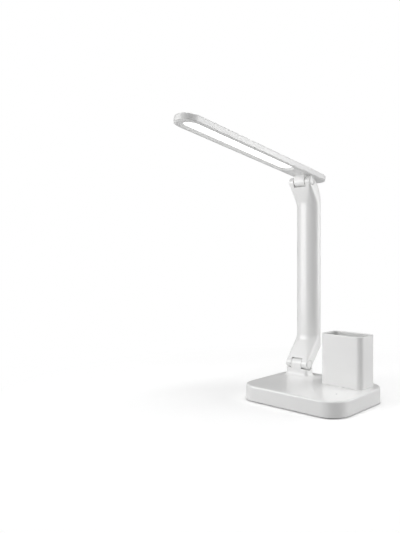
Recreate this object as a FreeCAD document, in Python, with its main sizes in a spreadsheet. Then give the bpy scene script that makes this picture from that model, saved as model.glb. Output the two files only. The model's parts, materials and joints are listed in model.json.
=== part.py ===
import FreeCAD, Part
import math
import os
import Sketcher
from FreeCAD import Placement, Rotation, Vector

# A foldable desk lamp with a pen cup on its base, in millimetres. The origin is on the
# floor under the base's centre, X runs along the base's front edge, Y to the back, Z up.

doc = FreeCAD.newDocument("desk_lamp")
sheet = doc.addObject("Spreadsheet::Sheet", "Sizes")

SIZES = {
    # base
    "base_width": 160, "base_depth": 120, "base_corner": 26, "base_height": 21.1, "base_edge": 2.4,
    "base_wall": 2.4, "mat_thickness": 1.2, "mat_inset": 3, "mat_corner": 23, "plate_thickness": 2.2,
    "fit_gap": 0.15, "boss_radius": 3.6, "boss_inset": 19, "boss_side_inset": 12,
    # hinge pedestal on the base
    "arm_inset": 31.5, "axis_setback": 26, "lower_axis_rise": 17.4, "pedestal_depth": 17.4,
    "pedestal_front_gap": 7.4, "pedestal_rise": 10.9, "pedestal_corner": 2.5,
    "pedestal_flare": 4.8, "pedestal_round": 1, "pedestal_wall": 2.6, "saddle_gap": 1.2,
    # arm
    "upper_axis_rise": 263.5, "upper_axis_back": 6.5, "arm_width": 37.8, "arm_depth": 19.2,
    "arm_setback": 10, "lower_front_bend": 39.4, "lower_rear_bend": 25.6, "upper_front_bend": 33.9,
    "upper_rear_bend": 30, "front_bend_arc": 16, "lower_rear_arc": 8, "upper_rear_arc": 40,
    "arm_wall": 2.2, "arm_front_flat": 1.5, "arm_side_round": 14.4,
    "arm_rear_round": 2.6, "ear_round": 1.1, "cover_margin": 4.4, "cover_thickness": 2.2,
    "cover_overlap": 5, "cover_post_radius": 3.2, "channel_gap": 0.6,
    # hinges
    "lower_ear_radius": 7.4, "upper_ear_radius": 7, "lower_shoulder": 10.1, "upper_shoulder": 9.6,
    "washer_thickness": 0.6, "washer_rim": 1.1, "ear_web": 3, "ear_overlap": 0.15,
    "ear_rim": 1.3, "cap_ledge": 0.6, "cap_thickness": 1.5, "cap_dome": 0.4, "shank_radius": 2.5,
    "seat_start": 3.4, "pin_head_radius": 4.4, "pin_head_thickness": 2.2, "spring_washer_thickness": 0.8,
    "bush_bore_radius": 1.1, "flange_thickness": 1.2, "running_clearance": 0.05, "slot_gap": 0.7,
    # leads
    "lead_radius": 0.7, "lead_flank_gap": 2.7, "lead_room": 1.3, "lead_bend": 3, "lead_side": 7.2,
    "lead_turn_rise": 10.2, "lead_turn_back": 5.2, "lead_entry": 41, "lead_exit": 15.5, "lead_straight": 27,
    "supply_swing": 13.5,
    # screws
    "screw_radius": 1.25, "screw_head_radius": 2.5, "screw_head_thickness": 1.4, "screw_length": 8,
    "short_screw_length": 4.6, "small_screw_radius": 0.8, "small_head_radius": 1.5,
    "small_head_thickness": 0.9, "drive_radius": 0.9, "drive_depth": 0.6,
    # base contents
    "weight_inset": 24, "weight_setback": 38, "weight_depth": 52, "weight_room": 8.3, "weight_bite": 1,
    "weight_corner": 4, "weight_screw_spread": 20, "board_width": 56, "board_depth": 26,
    "board_thickness": 1.6, "board_inset": 10, "dot_inset": 26.6, "dot_setback": 37.7, "post_length": 3.1,
    "post_radius": 2.4, "post_inset": 3.2, "lens_radius": 1, "lens_flange": 1.9, "lens_flange_thickness": 1,
    "foam_radius": 4.2, "foam_hole": 2.3, "plug_width": 8, "plug_depth": 6, "plug_height": 4.8,
    "chip_size": 6, "chip_height": 1.2, "chip_pitch": 12,
    "socket_inset": 60, "socket_width": 10, "socket_depth": 10.6, "socket_room": 2.3,
    "socket_nose": 4.4, "socket_bore": 3.1, "socket_bore_depth": 9.5, "socket_pin": 1,
    "socket_pin_length": 8.3,
    # pen cup
    "cup_inset": 11, "cup_setback": 12.5, "cup_width": 64.4, "cup_depth": 36.5, "cup_height": 67.9,
    "cup_corner": 8, "cup_wall": 2, "cup_floor": 3, "cup_lip": 0.8, "cup_screw_spread": 19,
    "cup_boss_radius": 3.4, "cup_boss_height": 3,
    # head
    "head_front": 235.5, "head_rear": 44.5, "head_width": 35.4, "head_corner": 13,
    "head_under": 9.1, "bezel_rise": 1.2, "bezel_slope": 2.6, "head_side": 6.8, "head_crown": 1.3,
    "head_round": 2.2, "head_wall": 1.6, "window_front": 227, "window_rear": 28.8,
    "window_width": 20.4, "window_slope": 3, "window_corner": 10, "window_depth": 3.2,
    "window_rim": 1.4, "lip_height": 1.2, "lip_wall": 1.2, "diffuser_thickness": 1.5,
    "led_board_thickness": 1, "chip_thickness": 0.7, "chip_length": 3.5,
    "chip_width": 2.8, "chip_row_gap": 8, "frame_wall": 1.4, "light_corner": 8.8,
    "flange_width": 29, "flange_front": 18, "flange_rear": 20, "mount_flange": 2.4, "mount_gap": 0.1,
    "mount_screw_side": 11.8, "mount_screw_front": 3, "mount_screw_rear": 14, "mount_post_radius": 2.3,
    "bezel_screw_side": 7.6, "bezel_screw_front": 13.7, "bezel_screw_rear": 15,
    "overrun": 2,
}
CHIPS_PER_ROW = 16
BEND_STEPS = 11
ARC_SHARE = 0.45
QUARTER_WEIGHT = math.sqrt(0.5)

# Degrees: the head's rise towards its tip, and how far the slots let each neighbour's leg swing
HEAD_TILT = 8.42
BACK_LEAN, FRONT_FOLD, HEAD_LIFT, HEAD_FOLD = 17, 90, 42, 100

# How near to one height an edge's two ends lie when it counts as level
LEVEL_SPREAD = 0.0001

for row, (name, number) in enumerate(SIZES.items(), 1):
    sheet.set(f"A{row}", name)
    sheet.set(f"B{row}", str(number))
    sheet.setAlias(f"B{row}", name)
doc.recompute()


class Size:
    """A size as a number and as the same expression on the sheet's cells."""

    def __init__(self, number, text):
        self.number, self.text = number, text

    def __add__(self, other):
        other = as_size(other)
        return Size(self.number + other.number, f"({self.text} + {other.text})")

    def __sub__(self, other):
        other = as_size(other)
        return Size(self.number - other.number, f"({self.text} - {other.text})")

    def __rsub__(self, other):
        return as_size(other) - self

    def __mul__(self, other):
        other = as_size(other)
        return Size(self.number * other.number, f"({self.text} * {other.text})")

    def __truediv__(self, other):
        other = as_size(other)
        return Size(self.number / other.number, f"({self.text} / {other.text})")

    def __neg__(self):
        return Size(-self.number, f"(0 - {self.text})")

    __radd__ = __add__
    __rmul__ = __mul__


def as_size(value):
    return value if isinstance(value, Size) else Size(float(value), str(value))


class Named:
    """Each size under its own name."""


s = Named()
for name in SIZES:
    setattr(s, name, Size(float(sheet.get(name)), f"Sizes.{name}"))

# Places worked out from the sizes
dot_x = s.base_width / 2 - s.dot_inset
dot_y = s.dot_setback - s.base_depth / 2
board_x = (s.base_width - s.board_width) / 2 - s.board_inset
socket_x = s.base_width / 2 - s.socket_inset
plate_z = s.mat_thickness
floor_z = s.mat_thickness + s.plate_thickness
ceiling_z = s.base_height - s.base_wall
weight_thickness = ceiling_z - floor_z - s.weight_room
weight_width = s.base_width - s.weight_inset - s.board_inset - s.board_width
weight_x = s.weight_inset + weight_width / 2 - s.base_width / 2
weight_y = s.weight_setback - s.base_depth / 2
lower_y = s.base_depth / 2 - s.axis_setback
lower_z = s.base_height + s.lower_axis_rise
upper_y = lower_y + s.upper_axis_back
upper_z = lower_z + s.upper_axis_rise
arm_front = lower_y + s.arm_setback
arm_rear = arm_front + s.arm_depth
arm_half = s.arm_width / 2
arm_x = s.arm_inset - s.base_width / 2
arm_front_round = arm_half - s.arm_front_flat
board_z = ceiling_z - s.post_length - s.board_thickness


def bind(thing, **sizes):
    """Ties each named property to the sheet, or sets it where the value isn't a size."""
    for name, value in sizes.items():
        if isinstance(value, Size):
            thing.setExpression(name, value.text)
        else:
            setattr(thing, name, value)
    return thing


def put(thing, x=0, y=0, z=0, turn=None):
    """Places a thing: its turn first, then its origin, tied to the sheet."""
    thing.Placement = Placement(Vector(), turn or Rotation())
    for axis, value in (("x", x), ("y", y), ("z", z)):
        thing.setExpression(f"Placement.Base.{axis}", as_size(value).text)
    return thing


def block(name, x, y, z, length, width, height):
    """A box centred on x and y that stands on z."""
    box = bind(doc.addObject("Part::Box", name), Length=length, Width=width, Height=height)
    return put(box, x - length / 2, y - width / 2, z)


def rod(name, x, y, z, radius, height, turn=None):
    """A cylinder from a point, along Z unless it is turned."""
    return put(bind(doc.addObject("Part::Cylinder", name), Radius=radius, Height=height), x, y, z, turn)


def fuse(name, *things):
    whole = doc.addObject("Part::MultiFuse", name)
    whole.Shapes = list(things)
    return whole


def cut(name, base, *tools):
    left = doc.addObject("Part::Cut", name)
    left.Base = base
    left.Tool = tools[0] if len(tools) == 1 else fuse(name + "_cutters", *tools)
    return left


def group(name, things):
    whole = doc.addObject("Part::Compound", name)
    whole.Links = things
    return whole


def shaped(name, shape):
    """A free form, where no feature or primitive fits."""
    thing = doc.addObject("Part::Feature", name)
    thing.Shape = shape
    return thing


def sketch(body, name, role="XY_Plane", x=0, y=0, z=0):
    """A sketch on a plane of its own body, moved in that plane by x and y, and off it by z."""
    drawing = body.newObject("Sketcher::SketchObject", name)
    plane = next(datum for datum in body.Origin.OriginFeatures if datum.Role == role)
    drawing.AttachmentSupport = [(plane, "")]
    drawing.MapMode = "FlatFace"
    for axis, value in (("x", x), ("y", y), ("z", z)):
        drawing.setExpression(f"AttachmentOffset.Base.{axis}", as_size(value).text)
    return drawing


def tie(drawing, constraint, value=None):
    """Adds a constraint, and ties its size to the sheet."""
    index = drawing.addConstraint(constraint)
    if value is not None:
        drawing.setExpression(f"Constraints[{index}]", value.text)


def rounded_rectangle(drawing, width, depth, radius):
    """Four lines and four tangent arcs, symmetric about the sketch's origin."""
    w, d, r = width.number / 2, depth.number / 2, radius.number
    corners = ((w, -d), (w, d), (-w, d), (-w, -d))
    starts = ((-w + r, -d), (w, -d + r), (w - r, d), (-w, d - r))
    ends = ((w - r, -d), (w, d - r), (-w + r, d), (-w, -d + r))
    for start, end in zip(starts, ends):
        drawing.addGeometry(Part.LineSegment(Vector(*start), Vector(*end)))
    for turn, (x, y) in enumerate(corners):
        middle = Vector(x - math.copysign(r, x), y - math.copysign(r, y))
        first = math.pi / 2 * (turn - 1)
        circle = Part.Circle(middle, Vector(0, 0, 1), r)
        drawing.addGeometry(Part.ArcOfCircle(circle, first, first + math.pi / 2))
    for side in range(4):
        tie(drawing, Sketcher.Constraint("Tangent", side, 2, 4 + side, 1))
        tie(drawing, Sketcher.Constraint("Tangent", 4 + side, 2, (side + 1) % 4, 1))
        tie(drawing, Sketcher.Constraint("Vertical" if side % 2 else "Horizontal", side))
    for corner in (5, 6, 7):
        tie(drawing, Sketcher.Constraint("Equal", 4, corner))
    tie(drawing, Sketcher.Constraint("Symmetric", 4, 3, 6, 3, -1, 1))
    tie(drawing, Sketcher.Constraint("Radius", 4, r), radius)
    tie(drawing, Sketcher.Constraint("DistanceX", 3, 1, 1, 1, 2 * w), width)
    tie(drawing, Sketcher.Constraint("DistanceY", 0, 1, 2, 1, 2 * d), depth)
    return drawing


def pad(body, drawing, length, **options):
    feature = body.newObject("PartDesign::Pad", drawing.Name + "_pad")
    feature.Profile = drawing
    return bind(feature, Length=length, **options)


def slab(body, name, x, y, z, width, depth, height, radius):
    """A rounded rectangle about x and y, padded up from z."""
    return pad(body, rounded_rectangle(sketch(body, name, "XY_Plane", x, y, z), width, depth, radius), height)


def sink(body, name, x, y, z, width, depth, height, radius):
    """A rounded rectangle about x and y, cut out upwards from z."""
    drawing = rounded_rectangle(sketch(body, name, "XY_Plane", x, y, z), width, depth, radius)
    feature = body.newObject("PartDesign::Pocket", name + "_pocket")
    feature.Profile = drawing
    return bind(feature, Length=height, Reversed=True)


def soften(body, kind, size, chosen):
    """Rounds or bevels the edges of the body's last feature that a test picks."""
    doc.recompute()
    base = body.Tip
    names = [f"Edge{n}" for n, edge in enumerate(base.Shape.Edges, 1) if chosen(edge)]
    feature = body.newObject(f"PartDesign::{kind}", body.Name + "_" + kind.lower())
    feature.Base = (base, names)
    return bind(feature, **{"Radius" if kind == "Fillet" else "Size": size})


def level(height):
    """Picks the edges that lie wholly at one height."""

    def flat(edge):
        box = edge.BoundBox
        return abs(box.ZMin - height) < LEVEL_SPREAD and abs(box.ZMax - height) < LEVEL_SPREAD

    return flat


def turned(name, profile):
    """A body turned about Z from a closed profile of (radius, height) corners."""
    body = doc.addObject("PartDesign::Body", name)
    drawing = sketch(body, name + "_profile", "XZ_Plane")
    points = [(as_size(r), as_size(h)) for r, h in profile]
    places = [Vector(r.number, h.number) for r, h in points]
    for start, end in zip(places, places[1:] + places[:1]):
        drawing.addGeometry(Part.LineSegment(start, end))
    for n in range(len(points)):
        tie(drawing, Sketcher.Constraint("Coincident", n, 2, (n + 1) % len(points), 1))
    for n, (r, h) in enumerate(points):
        for kind, line, value in (("DistanceX", -2, r), ("DistanceY", -1, h)):
            if value.number == 0:
                tie(drawing, Sketcher.Constraint("PointOnObject", n, 1, line))
            else:
                tie(drawing, Sketcher.Constraint(kind, -1, 1, n, 1, value.number), value)
    feature = body.newObject("PartDesign::Revolution", name + "_turn")
    feature.Profile = drawing
    feature.ReferenceAxis = (drawing, ["V_Axis"])
    return body


def screw(name, radius, length, head_radius, head_thickness, x, y, z, turn=None):
    """A pan-headed screw from its head's outer face, with a round drive recess."""
    body = turned(name, [
        (0, s.drive_depth),
        (s.drive_radius, s.drive_depth),
        (s.drive_radius, 0),
        (head_radius, 0),
        (head_radius, head_thickness),
        (radius, head_thickness),
        (radius, head_thickness + length),
        (0, head_thickness + length),
    ])
    return put(body, x, y, z, turn)


def tongue(drawing, radius, reach, way):
    """A round eye about the sketch's origin on a leg that reaches down (-1) or up (1)."""
    r, end = radius.number, way * reach.number
    first = math.pi if way > 0 else 0
    circle = Part.Circle(Vector(0, 0), Vector(0, 0, 1), r)
    drawing.addGeometry(Part.ArcOfCircle(circle, first, first + math.pi))
    start, stop = Vector(-way * r, 0), Vector(way * r, 0)
    drawing.addGeometry(Part.LineSegment(stop, Vector(stop.x, end)))
    drawing.addGeometry(Part.LineSegment(Vector(stop.x, end), Vector(start.x, end)))
    drawing.addGeometry(Part.LineSegment(Vector(start.x, end), start))
    tie(drawing, Sketcher.Constraint("Coincident", 0, 3, -1, 1))
    tie(drawing, Sketcher.Constraint("PointOnObject", 0, 1, -1))
    tie(drawing, Sketcher.Constraint("PointOnObject", 0, 2, -1))
    for line, following in ((0, 1), (1, 2), (2, 3), (3, 0)):
        tie(drawing, Sketcher.Constraint("Coincident", line, 2, following, 1))
    tie(drawing, Sketcher.Constraint("Vertical", 1))
    tie(drawing, Sketcher.Constraint("Horizontal", 2))
    tie(drawing, Sketcher.Constraint("Vertical", 3))
    tie(drawing, Sketcher.Constraint("Radius", 0, r), radius)
    ends = (-1, 1, 2, 1) if way > 0 else (2, 1, -1, 1)
    tie(drawing, Sketcher.Constraint("DistanceY", *ends, reach.number), reach)
    return drawing


# Turns: RIGHT takes a piece's own Z to +X, LEFT to -X, DOWN to -Z, BACK to +Y, FRONT to -Y
RIGHT = Rotation(Vector(0, 1, 0), 90)
LEFT = Rotation(Vector(0, 1, 0), -90)
DOWN = Rotation(Vector(1, 0, 0), 180)
BACK = Rotation(Vector(1, 0, 0), -90)
FRONT = Rotation(Vector(1, 0, 0), 90)

nodes = {}


def keep(name, thing):
    """Makes a thing one of the lamp's pieces, under its node's name."""
    thing.Label = name
    nodes[name] = thing
    return thing


class Hinge:
    """One friction hinge: its axis, and how its stack lies along that axis from the arm's middle."""

    def __init__(self, name, y, z, ear_radius, shoulder):
        self.name, self.y, self.z, self.ear_radius = name, y, z, ear_radius
        self.half = arm_half - shoulder
        self.seat = s.seat_start
        self.seat_depth = self.half - self.seat
        self.ear = self.half + s.washer_thickness
        self.web = self.ear + s.ear_web
        self.flange = self.web + s.flange_thickness
        self.cap_radius = ear_radius - s.ear_rim
        self.pocket_radius = self.cap_radius - s.cap_ledge

    def rod(self, name, radius, start, end, side):
        """A cylinder on the axis from start to end, to the right (1) or the left (-1)."""
        x = arm_x + start if side > 0 else arm_x - start
        return rod(f"{self.name}_{name}", x, self.y, self.z, radius, end - start, RIGHT if side > 0 else LEFT)

    def stand(self, body, start, side):
        """Puts a turned piece on the axis, its own Z outwards from start."""
        x = arm_x + start if side > 0 else arm_x - start
        return put(body, x, self.y, self.z, RIGHT if side > 0 else LEFT)


lower = Hinge("lower", lower_y, lower_z, s.lower_ear_radius, s.lower_shoulder)
upper = Hinge("upper", upper_y, upper_z, s.upper_ear_radius, s.upper_shoulder)

# Leads: straight runs joined by tangent arcs

def route_path(points, bend):
    """The line along the points, each corner an arc of the bend's radius or what its runs allow."""
    corners = []
    for before, corner, after in zip(points, points[1:], points[2:]):
        coming, going = corner - before, after - corner
        half_turn = coming.getAngle(going) / 2
        reach = min(bend * math.tan(half_turn), min(coming.Length, going.Length) * ARC_SHARE)
        coming.normalize()
        going.normalize()
        first, last = corner - coming * reach, corner + going * reach
        inward = (going - coming).normalize()
        rise = reach / math.tan(half_turn)
        middle = corner + inward * (math.hypot(rise, reach) - rise)
        corners.append((first, middle, last))
    edges = []
    here = points[0]
    for first, middle, last in corners:
        edges.append(Part.LineSegment(here, first).toShape())
        edges.append(Part.Arc(first, middle, last).toShape())
        here = last
    edges.append(Part.LineSegment(here, points[-1]).toShape())
    return Part.Wire(edges)


def tube(points, radius, bend):
    """A round tube along a route of (x, y, z) sizes."""
    places = [Vector(*(as_size(value).number for value in point)) for point in points]
    start = Part.Wire([Part.Circle(places[0], places[1] - places[0], radius.number).toShape()])
    return route_path(places, bend.number).makePipeShell([start], True, False)


lead_run_z = floor_z + weight_thickness + s.lead_radius + s.channel_gap
plug_z = board_z - s.plug_height
plug_x = board_x - s.board_width / 2 + s.plug_width / 2
base_lead_route = [
    (plug_x - s.plug_width / 2, dot_y, lead_run_z),
    (weight_x - s.lead_flank_gap, dot_y, lead_run_z),
    (arm_x, lower_y - s.lead_straight, lead_run_z),
    (arm_x, lower_y, lead_run_z),
    (arm_x, lower_y, lower_z),
    (arm_x - lower.flange, lower_y, lower_z),
]
supply_plug_x = board_x - s.plug_width
supply_plug_y = dot_y + s.board_depth / 2 - s.plug_depth
socket_height = ceiling_z - floor_z - s.socket_room
socket_z = floor_z + socket_height / 2
socket_front = s.base_depth / 2 - s.base_wall - s.socket_depth
supply_route = [
    (socket_x, socket_front, socket_z),
    (socket_x, socket_front - s.lead_straight, socket_z),
    (supply_plug_x, supply_plug_y + s.supply_swing, lead_run_z),
    (supply_plug_x, supply_plug_y + s.plug_depth, lead_run_z),
]
arm_middle = arm_front + s.arm_depth / 2
lead_flank = arm_x - arm_half + s.lead_flank_gap
lead_inside = arm_middle + s.lead_room
arm_lead_route = [
    (arm_x - lower.flange, lower_y, lower_z),
    (lead_flank, lower_y, lower_z),
    (lead_flank + s.lead_room, arm_middle - s.lead_turn_back, lower_z + s.lead_turn_rise),
    (arm_x - s.lead_side, lead_inside, lower_z + s.lower_front_bend),
    (arm_x - s.lead_side, lead_inside, upper_z - s.lead_entry),
    (lead_flank + s.lead_room, arm_middle, upper_z - s.lead_exit),
    (lead_flank, upper_y, upper_z),
    (arm_x - upper.flange, upper_y, upper_z),
]


# Base

pedestal_y = lower_y - s.pedestal_front_gap + s.pedestal_depth / 2
pedestal_top = s.base_height + s.pedestal_rise
cup_x = (s.base_width - s.cup_width) / 2 - s.cup_inset
cup_y = (s.base_depth - s.cup_depth) / 2 - s.cup_setback
boss_places = [
    (side * (s.base_width / 2 - s.boss_inset), end * (s.base_depth / 2 - s.boss_side_inset))
    for side in (-1, 1) for end in (-1, 1)]
post_places = [
    (board_x + side * (s.board_width / 2 - s.post_inset), dot_y + end * (s.board_depth / 2 - s.post_inset))
    for side in (-1, 1) for end in (-1, 1)]
cup_screw_places = [(cup_x + side * s.cup_screw_spread, cup_y) for side in (-1, 1)]


def base_shell():
    """The moulded top: a rounded box open below, with a flared pedestal and the hinge's knuckle."""
    body = doc.addObject("PartDesign::Body", "base_form")
    slab(body, "base_outline", 0, 0, plate_z, s.base_width, s.base_depth, s.base_height - plate_z,
         s.base_corner)
    soften(body, "Fillet", s.base_edge, level(s.base_height.number))
    slab(body, "pedestal", arm_x, pedestal_y, ceiling_z, s.arm_width, s.pedestal_depth,
         pedestal_top - ceiling_z, s.pedestal_corner)
    foot = level(s.base_height.number)
    near = math.hypot(s.arm_width.number, s.pedestal_depth.number) / 2
    middle = Vector(arm_x.number, pedestal_y.number, s.base_height.number)
    soften(body, "Fillet", s.pedestal_flare,
           lambda edge: foot(edge) and edge.CenterOfMass.distanceToPoint(middle) < near)
    soften(body, "Fillet", s.pedestal_round, level(pedestal_top.number))
    drawing = sketch(body, "base_knuckle", "YZ_Plane", lower_y, lower_z, arm_x - lower.half)
    tongue(drawing, s.lower_ear_radius, s.lower_axis_rise - s.pedestal_rise + s.saddle_gap, -1)
    pad(body, drawing, 2 * lower.half)
    inner_width, inner_depth = s.base_width - 2 * s.base_wall, s.base_depth - 2 * s.base_wall
    sink(body, "base_cavity", 0, 0, plate_z, inner_width, inner_depth, ceiling_z - plate_z,
         s.base_corner - s.base_wall)
    cavity_top = lower_z - s.lower_ear_radius - s.saddle_gap - s.pedestal_wall
    through = s.base_wall + 2 * s.overrun
    cutters = [
        block("pedestal_cavity", arm_x, pedestal_y, ceiling_z - s.base_wall,
              s.arm_width - 2 * s.pedestal_wall, s.pedestal_depth - 2 * s.pedestal_wall,
              cavity_top - ceiling_z + s.base_wall),
        block("knuckle_channel", arm_x - (lower.seat - s.lead_room) / 2, lower_y, cavity_top - s.overrun,
              lower.seat + s.lead_room, 2 * s.lead_room, lower_z + s.lead_room - cavity_top + s.overrun),
        rod("lens_hole", dot_x, dot_y, ceiling_z - s.overrun, s.lens_radius + s.running_clearance, through),
        rod("socket_hole", socket_x, s.base_depth / 2 - s.base_wall - s.overrun, socket_z,
            s.socket_nose + s.running_clearance, through, BACK),
    ]
    for side in (-1, 1):
        cutters.append(lower.rod("saddle", s.lower_ear_radius + s.saddle_gap, lower.half,
                                 s.arm_width, side))
        cutters.append(lower.rod("seat", s.shank_radius + s.running_clearance, lower.seat,
                                 lower.half + s.overrun, side))
    for x, y in cup_screw_places:
        cutters.append(rod("cup_hole", x, y, ceiling_z - s.overrun, s.screw_radius, through))
    solids = [rod("boss", x, y, floor_z, s.boss_radius, ceiling_z - floor_z) for x, y in boss_places]
    solids += [rod("post", x, y, board_z + s.board_thickness, s.post_radius, s.post_length)
               for x, y in post_places]
    holes = [rod("boss_hole", x, y, plate_z, s.screw_radius, s.screw_head_thickness + s.screw_length)
             for x, y in boss_places]
    holes += [rod("post_hole", x, y, board_z, s.small_screw_radius, s.board_thickness + s.post_length)
              for x, y in post_places]
    hollow = cut("base_hollow", body, *cutters)
    keep("base_shell", cut("base_shell", fuse("base_bossed", hollow, *solids), *holes))


def base_floor():
    """The screwed bottom plate, the anti-slip mat under it and the steel weight on it."""
    inset = s.base_wall + s.fit_gap
    body = doc.addObject("PartDesign::Body", "plate_form")
    slab(body, "plate_outline", 0, 0, plate_z, s.base_width - 2 * inset, s.base_depth - 2 * inset,
         s.plate_thickness, s.base_corner - inset)
    cutters, screws = [], []
    for x, y in boss_places:
        cutters.append(rod("plate_hole", x, y, 0, s.screw_radius, floor_z + s.overrun))
        cutters.append(rod("plate_seat", x, y, 0, s.screw_head_radius, plate_z + s.screw_head_thickness))
        screws.append(screw("base_screw", s.screw_radius, s.screw_length, s.screw_head_radius,
                            s.screw_head_thickness, x, y, plate_z))
    weight_screws, weight_holes = [], []
    weight_top = floor_z + weight_thickness
    for end in (-1, 1):
        x, y = weight_x, weight_y + end * s.weight_screw_spread
        cutters.append(rod("weight_thread", x, y, floor_z - s.weight_bite, s.screw_radius, s.weight_bite))
        weight_holes.append(rod("weight_hole", x, y, floor_z, s.screw_radius, weight_thickness))
        weight_screws.append(screw(
            "weight_screw", s.screw_radius, weight_thickness + s.weight_bite, s.screw_head_radius,
            s.screw_head_thickness, x, y, weight_top + s.screw_head_thickness, DOWN))
    keep("base_plate", cut("base_plate", body, *cutters))
    mat = doc.addObject("PartDesign::Body", "anti_slip_mat")
    slab(mat, "mat_outline", 0, 0, 0, s.base_width - 2 * s.mat_inset, s.base_depth - 2 * s.mat_inset,
         s.mat_thickness, s.mat_corner)
    keep("anti_slip_mat", mat)
    weight = doc.addObject("PartDesign::Body", "weight_form")
    slab(weight, "weight_outline", weight_x, weight_y, floor_z, weight_width, s.weight_depth,
         weight_thickness, s.weight_corner)
    keep("counterweight", cut("counterweight", weight, *weight_holes))
    keep("base_screws", group("base_screws", screws))
    keep("weight_screws", group("weight_screws", weight_screws))


def control_board():
    """The touch board under the base's top, its parts, light pipe, touch foam and screws."""
    board = block("board_form", board_x, dot_y, board_z, s.board_width, s.board_depth, s.board_thickness)
    holes = [rod("board_hole", x, y, board_z, s.small_screw_radius, s.board_thickness)
             for x, y in post_places]
    keep("control_board", cut("control_board", board, *holes))
    screws = [screw("board_screw", s.small_screw_radius, s.board_thickness + s.post_length / 2,
                    s.small_head_radius, s.small_head_thickness, x, y, board_z - s.small_head_thickness)
              for x, y in post_places]
    keep("board_screws", group("board_screws", screws))
    parts = [block("lead_plug", plug_x, dot_y, plug_z, s.plug_width, s.plug_depth, s.plug_height)]
    parts.append(block("supply_plug", supply_plug_x, supply_plug_y + s.plug_depth / 2, plug_z,
                       s.plug_width, s.plug_depth, s.plug_height))
    for place in (0, 1):
        parts.append(block("chip", board_x + place * s.chip_pitch, dot_y - s.chip_size / 2,
                           board_z - s.chip_height, s.chip_size, s.chip_size, s.chip_height))
    keep("board_components", group("board_components", parts))
    lens = turned("indicator_lens", [
        (0, 0),
        (s.lens_flange, 0),
        (s.lens_flange, s.lens_flange_thickness),
        (s.lens_radius, s.lens_flange_thickness),
        (s.lens_radius, s.lens_flange_thickness + s.base_wall),
        (0, s.lens_flange_thickness + s.base_wall),
    ])
    keep("indicator_lens", put(lens, dot_x, dot_y, ceiling_z - s.lens_flange_thickness))
    foam = turned("touch_foam", [
        (s.foam_hole, 0),
        (s.foam_radius, 0),
        (s.foam_radius, s.post_length),
        (s.foam_hole, s.post_length),
    ])
    keep("touch_foam", put(foam, dot_x, dot_y, board_z + s.board_thickness))


def power_socket():
    """The inlet in the base's back wall: a housing on the floor, a nose in the wall, a contact pin."""
    depth = s.socket_depth
    housing = block("socket_housing", socket_x, socket_front + depth / 2, floor_z, s.socket_width, depth,
                    socket_height)
    nose = rod("socket_nose", socket_x, socket_front + depth - s.overrun, socket_z, s.socket_nose,
               s.base_wall + s.overrun, BACK)
    bore = rod("socket_bore", socket_x, s.base_depth / 2 - s.socket_bore_depth, socket_z, s.socket_bore,
               s.socket_bore_depth + s.overrun, BACK)
    keep("power_socket", cut("power_socket", fuse("socket_body", housing, nose), bore))
    keep("socket_pin", rod("socket_pin", socket_x, s.base_depth / 2 - s.socket_bore_depth, socket_z,
                           s.socket_pin, s.socket_pin_length, BACK))


def pen_cup():
    """The open cup, screwed down from inside the base."""
    body = doc.addObject("PartDesign::Body", "cup_form")
    slab(body, "cup_outline", cup_x, cup_y, s.base_height, s.cup_width, s.cup_depth, s.cup_height,
         s.cup_corner)
    sink(body, "cup_room", cup_x, cup_y, s.base_height + s.cup_floor, s.cup_width - 2 * s.cup_wall,
         s.cup_depth - 2 * s.cup_wall, s.cup_height - s.cup_floor, s.cup_corner - s.cup_wall)
    soften(body, "Fillet", s.cup_lip, level((s.base_height + s.cup_height).number))
    bosses = [rod("cup_boss", x, y, s.base_height + s.cup_floor / 2, s.cup_boss_radius,
                  s.cup_floor / 2 + s.cup_boss_height) for x, y in cup_screw_places]
    holes = [rod("cup_thread", x, y, s.base_height, s.screw_radius, s.short_screw_length)
             for x, y in cup_screw_places]
    keep("pen_cup", cut("pen_cup", fuse("cup_bossed", body, *bosses), *holes))
    screws = [screw("cup_screw", s.screw_radius, s.base_wall + s.short_screw_length, s.screw_head_radius,
                    s.screw_head_thickness, x, y, ceiling_z - s.screw_head_thickness)
              for x, y in cup_screw_places]
    keep("cup_screws", group("cup_screws", screws))


# Arm: a tube with a rounded front and a flat back, whose ends bend forward to two ears each


def outline_across(front, rear, half, front_round, side_round, rear_round):
    """The arm's outline across its run, from its front (y, z) to its rear (y, z)."""
    start = Vector(arm_x.number, *front)
    across = Vector(arm_x.number, *rear) - start
    depth = across.Length
    across.normalize()

    def at(x, run):
        return start + Vector(x, 0, 0) + across * run

    def corner(first, peak, last):
        curve = Part.BezierCurve()
        curve.setPoles([first, peak, last])
        curve.setWeight(2, QUARTER_WEIGHT)
        return curve.toShape()

    f, r = half - front_round, half - rear_round
    edges = [
        Part.LineSegment(at(-f, 0), at(f, 0)).toShape(),
        corner(at(f, 0), at(half, 0), at(half, side_round)),
        Part.LineSegment(at(half, side_round), at(half, depth - rear_round)).toShape(),
        corner(at(half, depth - rear_round), at(half, depth), at(r, depth)),
        Part.LineSegment(at(r, depth), at(-r, depth)).toShape(),
        corner(at(-r, depth), at(-half, depth), at(-half, depth - rear_round)),
        Part.LineSegment(at(-half, depth - rear_round), at(-half, side_round)).toShape(),
        corner(at(-half, side_round), at(-half, 0), at(-f, 0)),
    ]
    return Part.Wire(edges)


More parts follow.
